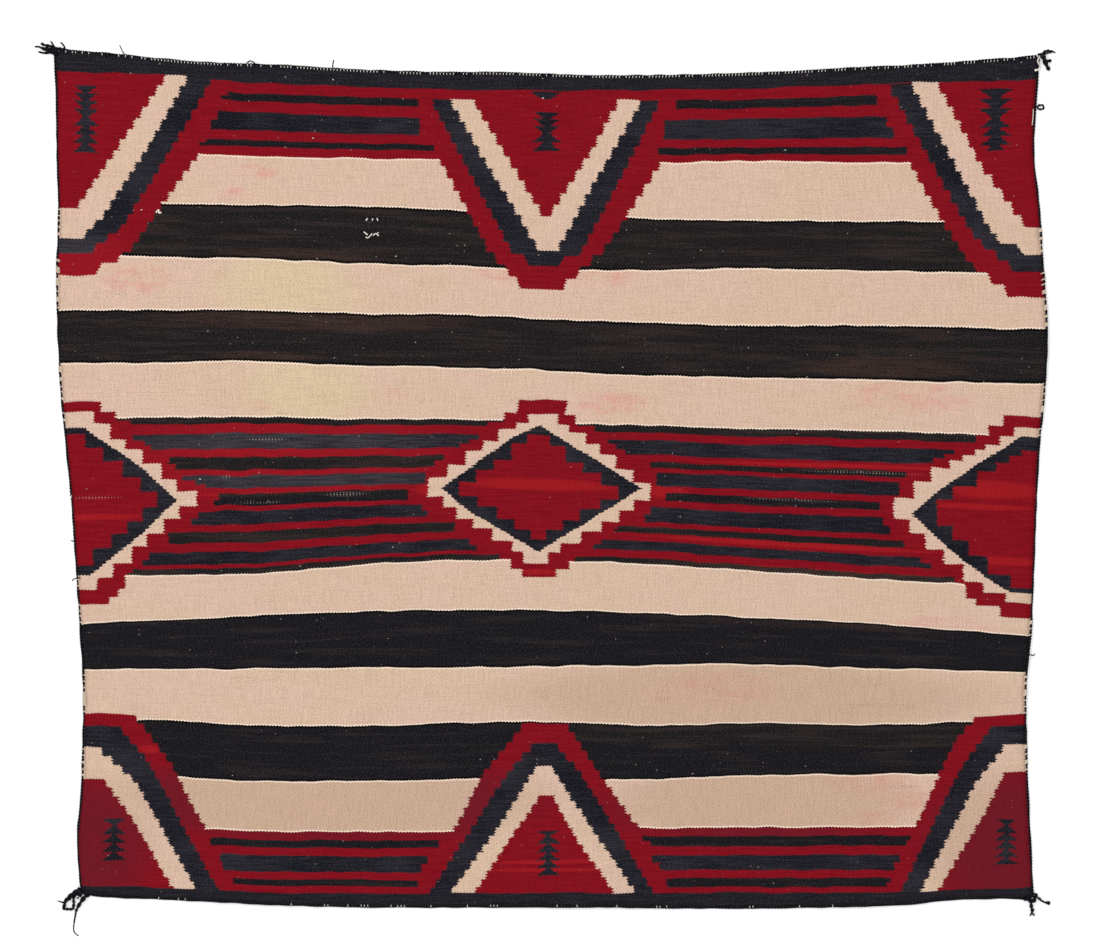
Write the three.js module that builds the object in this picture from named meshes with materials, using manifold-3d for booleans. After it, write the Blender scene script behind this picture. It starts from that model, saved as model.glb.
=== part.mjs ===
// A hand-woven wool rug laid flat: one tapestry-woven web, a plied cord bound along each of its
// four edges, and the knotted cord ends at its four corners.
// Millimetres, +Z up, underside on z = 0. +X runs along the top edge, +Y from the bottom to the top.

import * as THREE from "three";
import { mergeVertices } from "three/addons/utils/BufferGeometryUtils.js";
import Module from "manifold-3d";

// Driving dimensions
const WEB_THICKNESS = 2.4;
const CORD_DIAMETER = 4;
const CORD_SIDES = 8;
const STRAND_SIDES = 4;
const SEAM_GAP = 0.3;
const CORD_END_SETBACK = 0.6;
const COLUMNS = 38;
const ROWS = 32;

// The web's four corners.
const TOP_LEFT = [-855, 764.5];
const TOP_RIGHT = [862, 754];
const BOTTOM_LEFT = [-808, -706.5];
const BOTTOM_RIGHT = [852, -716];

// Places that each edge of the web runs through, from the left or the bottom corner to the other:
// the top and bottom edges bow inwards, and the sides wander as hand weaving does.
const TOP_EDGE = [
  TOP_LEFT,
  [-762, 758],
  [-676, 749],
  [-591, 742],
  [-462, 737],
  [-333, 730],
  [-204, 725],
  [-76, 724.5],
  [95, 719],
  [267, 721],
  [396, 725],
  [524, 731.5],
  [653, 738],
  [781, 747],
  TOP_RIGHT,
];
const BOTTOM_EDGE = [
  BOTTOM_LEFT,
  [-762, -711.5],
  [-591, -719],
  [-419, -727],
  [-248, -729.5],
  [-76, -729],
  [95, -729],
  [267, -731],
  [438, -730],
  [610, -726],
  [696, -717.5],
  [781, -714],
  BOTTOM_RIGHT,
];
const LEFT_EDGE = [
  BOTTOM_LEFT,
  [-814, -615],
  [-806, -510],
  [-803, -353],
  [-809, -248],
  [-816, -143],
  [-823, -38],
  [-833, 67],
  [-843, 172],
  [-848, 277],
  [-850, 382],
  [-847, 487],
  [-850, 592],
  [-851, 697],
  TOP_LEFT,
];
const RIGHT_EDGE = [
  BOTTOM_RIGHT,
  [847, -615],
  [842, -510],
  [839, -353],
  [848, -248],
  [853, -143],
  [857, -38],
  [862, 67],
  [872, 172],
  [876, 277],
  [870, 382],
  [863, 487],
  [853, 592],
  [858, 697],
  TOP_RIGHT,
];

// Soft cockles where the cloth stands a few millimetres off the surface, each a round-topped
// swelling that dies out at its reach.
const COCKLES = [
  { x: -560, y: 740, height: 4, reachX: 190, reachY: 150 },
  { x: 60, y: 722, height: 2.5, reachX: 220, reachY: 120 },
  { x: 500, y: 728, height: 3.5, reachX: 210, reachY: 160 },
  { x: -500, y: -724, height: 3, reachX: 200, reachY: 130 },
  { x: 90, y: -730, height: 3.5, reachX: 230, reachY: 150 },
  { x: 560, y: -727, height: 3, reachX: 170, reachY: 120 },
  { x: -848, y: 330, height: 3.5, reachX: 140, reachY: 190 },
  { x: -806, y: -430, height: 4, reachX: 150, reachY: 180 },
  { x: 874, y: 250, height: 4.5, reachX: 170, reachY: 200 },
  { x: 840, y: -330, height: 3.5, reachX: 140, reachY: 180 },
  { x: -420, y: 300, height: 2.5, reachX: 210, reachY: 130 },
  { x: 330, y: 400, height: 2, reachX: 240, reachY: 140 },
  { x: -300, y: -420, height: 2.5, reachX: 240, reachY: 130 },
  { x: 420, y: -330, height: 2, reachX: 220, reachY: 130 },
];

// The knotted cord ends at each corner: where the knot sits from the corner, its half sizes, and
// the strands that leave it. A strand runs through its places, from thick at the knot to its tip.
// A bead is a small knot or a loop's fold on a strand.
const KNOT_HALF_SIZE = [5, 4.4, 3.4];
const TASSELS = [
  {
    name: "tassel_top_left",
    corner: TOP_LEFT,
    knot: [-4.5, 4.8],
    strands: [
      { thick: 3.6, tip: 1.4, path: [[-862, 770.5], [-872, 770], [-882, 771], [-893, 773]] },
      { thick: 3.4, tip: 2.4, path: [[-862, 772], [-873, 774.5], [-883, 775.5]] },
      { thick: 3.6, tip: 2.2, path: [[-861, 773], [-869, 777], [-879, 779.5]] },
      { thick: 2.6, tip: 1.2, path: [[-860, 773], [-862, 779], [-865, 784]] },
      { thick: 3.4, tip: 1.6, path: [[-862, 768], [-873, 765.5], [-886, 764]] },
      { thick: 3.2, tip: 1.8, path: [[-860, 767], [-867, 762], [-875, 761]] },
      { thick: 2.4, tip: 2, path: [[-857, 772], [-852, 778], [-846, 781], [-842, 777], [-840, 772]] },
    ],
    beads: [{ at: [-880, 779], radius: 1.9 }],
  },
  {
    name: "tassel_top_right",
    corner: TOP_RIGHT,
    knot: [4.5, 4.6],
    strands: [
      { thick: 3.6, tip: 2.4, path: [[868, 759], [874, 763], [883, 765], [893, 762.5]] },
      { thick: 4, tip: 3.2, path: [[868, 757], [872, 751], [878, 748.5], [885, 748.5]] },
      { thick: 4.6, tip: 3.8, path: [[873, 750], [877.5, 742], [882, 732]] },
    ],
    beads: [{ at: [885, 748.5], radius: 2.3 }],
  },
  {
    name: "tassel_bottom_left",
    corner: BOTTOM_LEFT,
    knot: [-4.6, -4.8],
    strands: [
      { thick: 3.6, tip: 3, path: [[-814, -710], [-819.5, -705.5], [-828, -708.5], [-836.5, -718.5]] },
      { thick: 3, tip: 2.8, path: [[-836, -718], [-839.5, -727], [-842, -736.5]] },
      { thick: 2.8, tip: 2.8, path: [[-842, -736.5], [-833, -737.5], [-825, -736.5]] },
      { thick: 2.8, tip: 2.4, path: [[-825, -736.5], [-823.5, -724], [-829, -712]] },
      { thick: 2, tip: 1.2, path: [[-837, -720], [-844, -722], [-851.5, -721]] },
      { thick: 3.8, tip: 2.2, path: [[-812, -714], [-814.5, -728], [-820, -740], [-822.5, -755]] },
      { thick: 2.2, tip: 1.1, path: [[-822.5, -755], [-824.5, -765], [-824, -774], [-815.5, -782.5]] },
    ],
    beads: [{ at: [-841, -736.5], radius: 1.9 }],
  },
  {
    name: "tassel_bottom_right",
    corner: BOTTOM_RIGHT,
    knot: [4.4, -4.6],
    strands: [
      { thick: 3, tip: 2.2, path: [[859, -720], [863.5, -715], [868, -719], [875, -724], [883, -725]] },
      { thick: 4.2, tip: 2.8, path: [[855, -723], [852.5, -733], [853.5, -740], [850, -747]] },
      { thick: 2.4, tip: 1.6, path: [[853, -738], [854.5, -742], [857, -746]] },
    ],
    beads: [
      { at: [867, -718], radius: 2 },
      { at: [882.5, -725], radius: 2.7 },
    ],
  },
];

const wasm = await Module();
wasm.setup();

// Materials
const webMaterial = new THREE.MeshStandardMaterial({ color: 0x7c1620, roughness: 0.95, metalness: 0 });
const cordMaterial = new THREE.MeshStandardMaterial({ color: 0x1d1c22, roughness: 0.9, metalness: 0 });
const tasselMaterial = new THREE.MeshStandardMaterial({ color: 0x17161b, roughness: 0.92, metalness: 0 });

// How far the cloth stands off the surface at a place.
function liftAt(x, y) {
  let lift = 0;
  for (const cockle of COCKLES) {
    const distance = Math.hypot((x - cockle.x) / cockle.reachX, (y - cockle.y) / cockle.reachY);
    if (distance < 1) {
      lift += cockle.height * 0.5 * (1 + Math.cos(Math.PI * distance));
    }
  }
  return lift;
}

// A smooth edge through its table of places.
function edgeCurve(places) {
  return new THREE.SplineCurve(places.map(([x, y]) => new THREE.Vector2(x, y)));
}

const topCurve = edgeCurve(TOP_EDGE);
const bottomCurve = edgeCurve(BOTTOM_EDGE);
const leftCurve = edgeCurve(LEFT_EDGE);
const rightCurve = edgeCurve(RIGHT_EDGE);

// A place inside the four edges: u runs from left to right and v from bottom to top.
function webPlace(u, v) {
  const bottom = bottomCurve.getPointAt(u);
  const top = topCurve.getPointAt(u);
  const left = leftCurve.getPointAt(v);
  const right = rightCurve.getPointAt(v);
  const mix = (axis, index) => {
    const acrossRows = (1 - v) * bottom[axis] + v * top[axis];
    const acrossColumns = (1 - u) * left[axis] + u * right[axis];
    const lowerSide = (1 - u) * BOTTOM_LEFT[index] + u * BOTTOM_RIGHT[index];
    const upperSide = (1 - u) * TOP_LEFT[index] + u * TOP_RIGHT[index];
    return acrossRows + acrossColumns - ((1 - v) * lowerSide + v * upperSide);
  };
  return [mix("x", 0), mix("y", 1)];
}

// A closed body from its points and faces.
function closedGeometry(points, faces) {
  const geometry = new THREE.BufferGeometry();
  geometry.setAttribute("position", new THREE.Float32BufferAttribute(points.flat(), 3));
  geometry.setIndex(faces.flat());
  geometry.computeVertexNormals();
  return geometry;
}

// The web: an underside and a top face on one grid of points, and a rim between them.
function webGeometry() {
  const points = [];
  for (const height of [0, WEB_THICKNESS]) {
    for (let row = 0; row <= ROWS; row += 1) {
      for (let column = 0; column <= COLUMNS; column += 1) {
        const [x, y] = webPlace(column / COLUMNS, row / ROWS);
        points.push([x, y, liftAt(x, y) + height]);
      }
    }
  }
  const perRow = COLUMNS + 1;
  const perFace = perRow * (ROWS + 1);
  const at = (row, column, level) => level * perFace + row * perRow + column;
  const faces = [];
  for (let row = 0; row < ROWS; row += 1) {
    for (let column = 0; column < COLUMNS; column += 1) {
      const a = at(row, column, 0);
      const b = at(row, column + 1, 0);
      const c = at(row + 1, column + 1, 0);
      const d = at(row + 1, column, 0);
      const [e, f, g, h] = [a, b, c, d].map((corner) => corner + perFace);
      faces.push([a, c, b], [a, d, c]);
      faces.push([e, f, g], [e, g, h]);
    }
  }
  const addRim = (low, lowNext) => {
    faces.push([low, lowNext, lowNext + perFace], [low, lowNext + perFace, low + perFace]);
  };
  for (let column = 0; column < COLUMNS; column += 1) {
    addRim(at(0, column, 0), at(0, column + 1, 0));
    addRim(at(ROWS, column + 1, 0), at(ROWS, column, 0));
  }
  for (let row = 0; row < ROWS; row += 1) {
    addRim(at(row, COLUMNS, 0), at(row + 1, COLUMNS, 0));
    addRim(at(row + 1, 0, 0), at(row, 0, 0));
  }
  return closedGeometry(points, faces);
}

// A yarn or cord that lies on the cloth's level along its path: one ring of points for each place,
// with a flat of the section downwards, and both ends closed.
function layCord(path, diameters, sides) {
  const points = [];
  path.forEach(([x, y], index) => {
    const before = path[Math.max(index - 1, 0)];
    const after = path[Math.min(index + 1, path.length - 1)];
    const run = new THREE.Vector2(after[0] - before[0], after[1] - before[1]).normalize();
    const radius = diameters[index] / 2;
    const flat = radius * Math.cos(Math.PI / sides);
    const centre = liftAt(x, y) + flat;
    for (let side = 0; side < sides; side += 1) {
      const angle = (2 * Math.PI * (side + 0.5)) / sides - Math.PI / 2;
      const across = radius * Math.cos(angle);
      points.push([x + run.y * across, y - run.x * across, centre + radius * Math.sin(angle)]);
    }
  });
  const faces = [];
  for (let ring = 0; ring < path.length - 1; ring += 1) {
    for (let side = 0; side < sides; side += 1) {
      const next = (side + 1) % sides;
      const a = ring * sides + side;
      const b = ring * sides + next;
      faces.push([a, b + sides, b], [a, a + sides, b + sides]);
    }
  }
  const last = (path.length - 1) * sides;
  for (let side = 1; side < sides - 1; side += 1) {
    faces.push([0, side, side + 1], [last, last + side + 1, last + side]);
  }
  return closedGeometry(points, faces);
}

// The cord beside one edge, outside the web by the seam gap. side is 1 where the outside lies to
// the left of the way that the edge runs, and -1 where it lies to the right.
function edgeCordGeometry(curve, side, steps) {
  const offset = SEAM_GAP + CORD_DIAMETER / 2;
  const endShare = CORD_END_SETBACK / curve.getLength();
  const path = [];
  for (let step = 0; step <= steps; step += 1) {
    const share = endShare + (1 - 2 * endShare) * (step / steps);
    const place = curve.getPointAt(share);
    const run = curve.getTangentAt(share);
    path.push([place.x - run.y * offset * side, place.y + run.x * offset * side]);
  }
  const diameters = path.map(() => CORD_DIAMETER);
  return layCord(path, diameters, CORD_SIDES);
}

// A closed geometry as a solid that can be joined to others.
function solidFrom(geometry) {
  const bare = geometry.clone();
  bare.deleteAttribute("normal");
  bare.deleteAttribute("uv");
  const merged = mergeVertices(bare, 1e-4);
  const mesh = new wasm.Mesh({
    numProp: 3,
    vertProperties: merged.attributes.position.array,
    triVerts: new Uint32Array(merged.index.array),
  });
  return new wasm.Manifold(mesh);
}

// A joined solid as a geometry again.
function geometryFrom(solid) {
  const mesh = solid.getMesh();
  const geometry = new THREE.BufferGeometry();
  geometry.setAttribute("position", new THREE.BufferAttribute(mesh.vertProperties, 3));
  geometry.setIndex(new THREE.BufferAttribute(mesh.triVerts, 1));
  geometry.computeVertexNormals();
  return geometry;
}

// A small round knot that stands on the surface.
function beadGeometry([x, y], [halfX, halfY, halfZ]) {
  const bead = new THREE.SphereGeometry(1, 10, 6);
  bead.rotateX(Math.PI / 2);
  bead.scale(halfX, halfY, halfZ);
  bead.translate(x, y, halfZ);
  return bead;
}

// A strand's path in even steps along a smooth curve, and its diameter at each step.
function strandGeometry({ path, thick, tip }) {
  const curve = edgeCurve(path);
  const steps = 3 * (path.length - 1);
  const places = curve.getSpacedPoints(steps).map((place) => [place.x, place.y]);
  const diameters = places.map((_, index) => thick + (tip - thick) * (index / steps));
  return layCord(places, diameters, STRAND_SIDES);
}

// One corner's knot with its strands and beads fused into one body.
function tasselGeometry({ corner, knot, strands, beads }) {
  let joined = solidFrom(beadGeometry([corner[0] + knot[0], corner[1] + knot[1]], KNOT_HALF_SIZE));
  for (const strand of strands) {
    joined = joined.add(solidFrom(strandGeometry(strand)));
  }
  for (const { at, radius } of beads) {
    joined = joined.add(solidFrom(beadGeometry(at, [radius, radius, radius])));
  }
  return geometryFrom(joined);
}

// The rug
const rug = new THREE.Group();

function addPiece(name, geometry, material) {
  const mesh = new THREE.Mesh(geometry, material.clone());
  mesh.name = name;
  rug.add(mesh);
}

addPiece("web", webGeometry(), webMaterial);
addPiece("end_cord_top", edgeCordGeometry(topCurve, 1, COLUMNS), cordMaterial);
addPiece("end_cord_bottom", edgeCordGeometry(bottomCurve, -1, COLUMNS), cordMaterial);
addPiece("side_cord_left", edgeCordGeometry(leftCurve, 1, ROWS), cordMaterial);
addPiece("side_cord_right", edgeCordGeometry(rightCurve, -1, ROWS), cordMaterial);
for (const tassel of TASSELS) {
  addPiece(tassel.name, tasselGeometry(tassel), tasselMaterial);
}

// The origin is on the surface, under the middle of the rug's whole footprint.
const footprint = new THREE.Box3().setFromObject(rug);
const middle = footprint.getCenter(new THREE.Vector3());
rug.position.set(-middle.x, -middle.y, 0);

export default rug;
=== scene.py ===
import math
import random
import bpy
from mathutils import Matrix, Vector, noise


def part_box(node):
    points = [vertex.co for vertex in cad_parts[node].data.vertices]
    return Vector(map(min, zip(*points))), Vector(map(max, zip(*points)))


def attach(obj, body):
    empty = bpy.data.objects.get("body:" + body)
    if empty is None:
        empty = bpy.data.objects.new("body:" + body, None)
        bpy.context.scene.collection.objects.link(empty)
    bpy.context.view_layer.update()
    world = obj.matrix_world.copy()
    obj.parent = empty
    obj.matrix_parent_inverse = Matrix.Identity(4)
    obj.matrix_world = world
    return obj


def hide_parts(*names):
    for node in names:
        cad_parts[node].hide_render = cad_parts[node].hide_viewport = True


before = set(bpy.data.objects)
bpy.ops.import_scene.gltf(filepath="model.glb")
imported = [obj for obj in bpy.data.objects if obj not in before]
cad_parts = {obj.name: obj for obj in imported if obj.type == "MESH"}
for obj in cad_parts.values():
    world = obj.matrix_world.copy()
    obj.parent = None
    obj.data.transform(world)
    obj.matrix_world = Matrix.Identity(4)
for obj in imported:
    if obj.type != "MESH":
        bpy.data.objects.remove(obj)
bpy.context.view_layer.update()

# Camera: straight above the rug, as the photograph is taken, with a long lens so that the cloth
# shows no perspective. The picture takes in 1.925 m by 1.664 m of the floor.
MM = 0.001
WEB_CORNER_LEFT = -855 * MM
WEB_CORNER_TOP = 764.5 * MM
web_low, web_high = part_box("web")
SHIFT_X = web_low.x - WEB_CORNER_LEFT
SHIFT_Y = web_high.y - WEB_CORNER_TOP
PICTURE_WIDTH = 1.925
PICTURE_MIDDLE = (9.6 * MM, 22.75 * MM)
CAMERA_HEIGHT = 9.0
lens_data = bpy.data.cameras.new("camera")
lens_data.sensor_width = 36
lens_data.lens = lens_data.sensor_width * CAMERA_HEIGHT / PICTURE_WIDTH
lens_data.clip_start = 0.1
lens_data.clip_end = 60
camera = bpy.data.objects.new("camera", lens_data)
camera.location = (PICTURE_MIDDLE[0] + SHIFT_X, PICTURE_MIDDLE[1] + SHIFT_Y, CAMERA_HEIGHT)
bpy.context.scene.collection.objects.link(camera)
bpy.context.scene.camera = camera

# Web: the tapestry-woven cloth, wool weft beaten down over a wool warp until it hides it. One flat
# sheet 2.4 mm thick, with soft cockles. Its weft rows wander, and the woven design rides on them.
WEB_THICKNESS = 2.4
WEB_WIDTH = 1.73
UNDER_CORD = 1.1
MESH_ROW_DEPTH = 10.5
MESH_COLUMNS = 196
RIPPLE = 0.3
BAKE_MARGIN = 0.01
RIM_SHIFT = 0.008
METRE = 1000.0
PATH_STEPS = 24
WARP_SPACING = 5.8
WEFT_SPACING = 1.45
TOP_EDGE = [
    (-855, 764.5), (-762, 758), (-676, 749), (-591, 742), (-462, 737), (-333, 730), (-204, 725), (-76, 724.5),
    (95, 719), (267, 721), (396, 725), (524, 731.5), (653, 738), (781, 747), (862, 754),
]
BOTTOM_EDGE = [
    (-808, -706.5), (-762, -711.5), (-591, -719), (-419, -727), (-248, -729.5), (-76, -729), (95, -729),
    (267, -731), (438, -730), (610, -726), (696, -717.5), (781, -714), (852, -716),
]
LEFT_EDGE = [
    (-808, -706.5), (-814, -615), (-806, -510), (-803, -353), (-809, -248), (-816, -143), (-823, -38),
    (-833, 67), (-843, 172), (-848, 277), (-850, 382), (-847, 487), (-850, 592), (-851, 697), (-855, 764.5),
]
RIGHT_EDGE = [
    (852, -716), (847, -615), (842, -510), (839, -353), (848, -248), (853, -143), (857, -38), (862, 67),
    (872, 172), (876, 277), (870, 382), (863, 487), (853, 592), (858, 697), (862, 754),
]
# Where the design changes from one broad stripe to the next: the height of that weft row, in mm,
# at ten places across the rug.
ROW_PLACES = (-848, -673, -498, -314, -148, 27, 185, 333, 605, 867)
ROW_LINES = [
    (730.5, 723.5, 709.5, 702.5, 698, 696.5, 697.5, 699, 708, 715),
    (592.5, 587, 582, 577.5, 575.5, 573, 570.5, 572, 571.5, 573),
    (499.5, 498, 496, 493.5, 486.5, 478.5, 471.5, 469, 467, 466.5),
    (408.5, 405.5, 402.5, 393.5, 390, 382.5, 382.5, 385.5, 380.5, 379),
    (310.5, 312.5, 311.5, 305.5, 304.5, 295, 290.5, 285, 284.5, 278),
    (218.5, 220.5, 222.5, 214.5, 212, 206, 198, 194.5, 189, 183),
    (121.5, 124.5, 125, 121.5, 121, 114.5, 110, 105, 100, 90),
    (-155, -152, -148, -133, -125, -127, -132, -142, -160, -174),
    (-240, -230, -222, -214.5, -212.5, -213.5, -218, -224, -239, -260),
    (-315.5, -315.5, -315.5, -313.5, -313.5, -310.5, -309, -307, -315, -320.5),
    (-401.5, -405, -414, -415.5, -409.5, -408.5, -415, -410.5, -413, -401.5),
    (-501.5, -503, -512, -512, -509, -508.5, -508.5, -503, -499, -501.5),
    (-590.5, -592.5, -599.5, -600.5, -600.5, -597, -594, -593, -592, -590.5),
    (-694, -698, -706, -708, -708, -707, -707, -707, -706, -697.5),
]
COCKLES = [
    (-560, 740, 4, 190, 150), (60, 722, 2.5, 220, 120), (500, 728, 3.5, 210, 160),
    (-500, -724, 3, 200, 130), (90, -730, 3.5, 230, 150), (560, -727, 3, 170, 120),
    (-848, 330, 3.5, 140, 190), (-806, -430, 4, 150, 180), (874, 250, 4.5, 170, 200),
    (840, -330, 3.5, 140, 180), (-420, 300, 2.5, 210, 130), (330, 400, 2, 240, 140),
    (-300, -420, 2.5, 240, 130), (420, -330, 2, 220, 130),
]


def lift_at(x, y):
    """How far the cloth stands off the floor at a place, in mm."""
    lift = 0.0
    for middle_x, middle_y, height, reach_x, reach_y in COCKLES:
        distance = math.hypot((x - middle_x) / reach_x, (y - middle_y) / reach_y)
        if distance < 1:
            lift += height * 0.5 * (1 + math.cos(math.pi * distance))
    return lift


def smooth_path(places, spacing):
    """Points an even distance apart on a smooth line through the places."""
    dense = []
    last = len(places) - 1
    for index in range(last):
        before = places[max(index - 1, 0)]
        here = places[index]
        there = places[index + 1]
        after = places[min(index + 2, last)]
        for step in range(PATH_STEPS):
            t = step / PATH_STEPS
            point = []
            for a, b, c, d in zip(before, here, there, after):
                slope_here = (c - a) / 2
                slope_there = (d - b) / 2
                cubic = 2 * (b - c) + slope_here + slope_there
                square = 3 * (c - b) - 2 * slope_here - slope_there
                point.append(((cubic * t + square) * t + slope_here) * t + b)
            dense.append(tuple(point))
    dense.append(tuple(places[last]))
    lengths = [0.0]
    for a, b in zip(dense, dense[1:]):
        lengths.append(lengths[-1] + math.dist(a, b))
    count = max(2, round(lengths[-1] / spacing))
    even = []
    at = 0
    for step in range(count + 1):
        wanted = lengths[-1] * step / count
        while at < len(dense) - 2 and lengths[at + 1] < wanted:
            at += 1
        share = (wanted - lengths[at]) / max(lengths[at + 1] - lengths[at], 1e-9)
        even.append(tuple(a + (b - a) * share for a, b in zip(dense[at], dense[at + 1])))
    return even


def value_on(line, key, axis=0):
    """The other coordinate of a line of points where its own coordinate on that axis is key."""
    other = 1 - axis
    for a, b in zip(line, line[1:]):
        if key <= b[axis]:
            break
    share = (key - a[axis]) / (b[axis] - a[axis])
    return a[other] + (b[other] - a[other]) * share


top_line = smooth_path(TOP_EDGE, 10)
bottom_line = smooth_path(BOTTOM_EDGE, 10)
left_line = smooth_path(LEFT_EDGE, 10)
right_line = smooth_path(RIGHT_EDGE, 10)
row_lines = [top_line]
for heights in ROW_LINES:
    row_lines.append(smooth_path(list(zip(ROW_PLACES, heights)), 10))
row_lines.append(bottom_line)
ROW_VALUES = [value_on(line, 0) for line in row_lines]


def height_of_row(row, x):
    """How high, in mm, a weft row lies at x. A row is named by its height at the rug's middle."""
    index = 0
    while index < len(ROW_VALUES) - 2 and row < ROW_VALUES[index + 1]:
        index += 1
    share = (row - ROW_VALUES[index + 1]) / (ROW_VALUES[index] - ROW_VALUES[index + 1])
    above = value_on(row_lines[index], x)
    below = value_on(row_lines[index + 1], x)
    return below + (above - below) * share


def row_at(x, y):
    """The weft row that passes through a place."""
    index = 0
    while index < len(ROW_VALUES) - 2 and y < value_on(row_lines[index + 1], x):
        index += 1
    above = value_on(row_lines[index], x)
    below = value_on(row_lines[index + 1], x)
    share = (y - below) / (above - below)
    return ROW_VALUES[index + 1] + (ROW_VALUES[index] - ROW_VALUES[index + 1]) * share


def web_rows():
    """The rows of the web's mesh, from the top: each broad stripe's edge and even steps between."""
    rows = []
    for upper, lower in zip(ROW_VALUES, ROW_VALUES[1:]):
        steps = max(2, math.ceil((upper - lower) / MESH_ROW_DEPTH))
        for step in range(steps):
            rows.append(upper + (lower - upper) * step / steps)
    rows.append(ROW_VALUES[-1])
    return rows


def mesh_object(name, points, faces, smooth=True):
    """A new piece from points in mm on the rug's own plan, and faces."""
    data = bpy.data.meshes.new(name)
    data.from_pydata([(x * MM + SHIFT_X, y * MM + SHIFT_Y, z * MM) for x, y, z in points], [], faces)
    if smooth:
        data.shade_smooth()
    piece = bpy.data.objects.new(name, data)
    bpy.context.scene.collection.objects.link(piece)
    return piece


def weave_web():
    """The web's mesh: an upper and a lower face on one grid, and a rim between them."""
    rows = web_rows()
    columns = MESH_COLUMNS
    first_x, reach_x = -830, 1690
    points = []
    cloth = []
    layout = []
    for level in (WEB_THICKNESS, 0):
        for row in rows:
            for column in range(columns + 1):
                share = column / columns
                x = first_x + reach_x * share
                for _ in range(3):
                    y = height_of_row(row, x)
                    left = value_on(left_line, y, 1)
                    x = left + (value_on(right_line, y, 1) - left) * share
                x += UNDER_CORD * ((column == columns) - (column == 0))
                y += UNDER_CORD * ((row == rows[0]) - (row == rows[-1]))
                ripple = RIPPLE + RIPPLE * noise.noise(Vector((x / 60, y / 34, 3.7)))
                points.append((x, y, lift_at(x, y) + level + ripple))
                cloth.append((share * WEB_WIDTH, row * MM))
                down = (row - ROW_VALUES[-1]) / (ROW_VALUES[0] - ROW_VALUES[-1])
                layout.append(tuple(BAKE_MARGIN + (1 - 2 * BAKE_MARGIN) * part for part in (share, down)))
    per_row = columns + 1
    per_face = per_row * len(rows)
    faces = []
    for row in range(len(rows) - 1):
        for column in range(columns):
            a = row * per_row + column
            faces.append((a, a + per_row, a + per_row + 1, a + 1))
            a += per_face
            faces.append((a, a + 1, a + per_row + 1, a + per_row))
    flat_faces = len(faces)
    rim = [(0, column) for column in range(columns, -1, -1)]
    rim += [(row, 0) for row in range(1, len(rows))]
    rim += [(len(rows) - 1, column) for column in range(1, columns + 1)]
    rim += [(row, columns) for row in range(len(rows) - 2, -1, -1)]
    for (row, column), (next_row, next_column) in zip(rim, rim[1:]):
        a = row * per_row + column
        b = next_row * per_row + next_column
        faces.append((a, a + per_face, b + per_face, b))
    piece = mesh_object("tapestry_web", points, faces)
    data = piece.data
    cloth_map = data.uv_layers.new(name="cloth")
    bake_map = data.uv_layers.new(name="OFBake")
    at_edge = BAKE_MARGIN * 1.1
    for face in data.polygons:
        on_rim = face.index >= flat_faces
        for loop in face.loop_indices:
            point = data.loops[loop].vertex_index
            cloth_map.data[loop].uv = cloth[point]
            u, v = layout[point]
            if on_rim and point >= per_face:
                u += RIM_SHIFT * ((u > 1 - at_edge) - (u < at_edge))
                v += RIM_SHIFT * ((v > 1 - at_edge) - (v < at_edge))
            bake_map.data[loop].uv = (u, v)
    data.uv_layers["cloth"].active_render = True
    data.uv_layers.active = data.uv_layers["cloth"]
    return piece


web = weave_web()


# The tools that the yarns' materials are made with. A node goes in the tree of the sockets that feed it.
def feed(socket, value):
    """Links a value to a socket, or sets the socket to it where it is a plain number or colour."""
    if isinstance(value, bpy.types.NodeSocket):
        socket.id_data.links.new(value, socket)
    else:
        socket.default_value = value


def fed_node(kind, *values):
    """A new node in the tree of the first socket among the values."""
    sockets = [value for value in values if isinstance(value, bpy.types.NodeSocket)]
    return sockets[0].id_data.nodes.new(kind)


def calc(operation, *values):
    """One sum of the shader's, on values or sockets."""
    made = fed_node("ShaderNodeMath", *values)
    made.operation = operation
    for socket, value in zip(made.inputs, values):
        feed(socket, value)
    return made.outputs[0]


def swap(mask, before, after):
    """A value that is before, or after where the mask is 1."""
    made = fed_node("ShaderNodeMix", mask)
    for socket, value in zip((made.inputs[0], made.inputs[2], made.inputs[3]), (mask, before, after)):
        feed(socket, value)
    return made.outputs[0]


def blend_colour(mask, before, after, way="MIX"):
    """A colour that goes from before to after as the mask goes from 0 to 1."""
    made = fed_node("ShaderNodeMix", mask, before)
    made.data_type = "RGBA"
    made.blend_type = way
    for socket, value in zip((made.inputs[0], made.inputs[6], made.inputs[7]), (mask, before, after)):
        feed(socket, value)
    return made.outputs[2]


def spread(value, low, high, to_low=0.0, to_high=1.0):
    """Goes softly from to_low to to_high while the value goes from low to high."""
    made = fed_node("ShaderNodeMapRange", value)
    made.interpolation_type = "SMOOTHSTEP"
    for socket, number in zip(made.inputs, (value, low, high, to_low, to_high)):
        feed(socket, number)
    return made.outputs[0]


def place_vector(x, y):
    """A place on the plane, for a texture to be looked up at."""
    made = fed_node("ShaderNodeCombineXYZ", x)
    feed(made.inputs[0], x)
    feed(made.inputs[1], y)
    return made.outputs[0]


def wool_noise(x, y, detail=2.0, roughness=0.55):
    """Soft unevenness with lumps about one unit across."""
    made = fed_node("ShaderNodeTexNoise", x)
    made.noise_dimensions = "2D"
    feed(made.inputs["Vector"], place_vector(x, y))
    for label, value in (("Scale", 1.0), ("Detail", detail), ("Roughness", roughness)):
        made.inputs[label].default_value = value
    return made.outputs[0]


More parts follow.
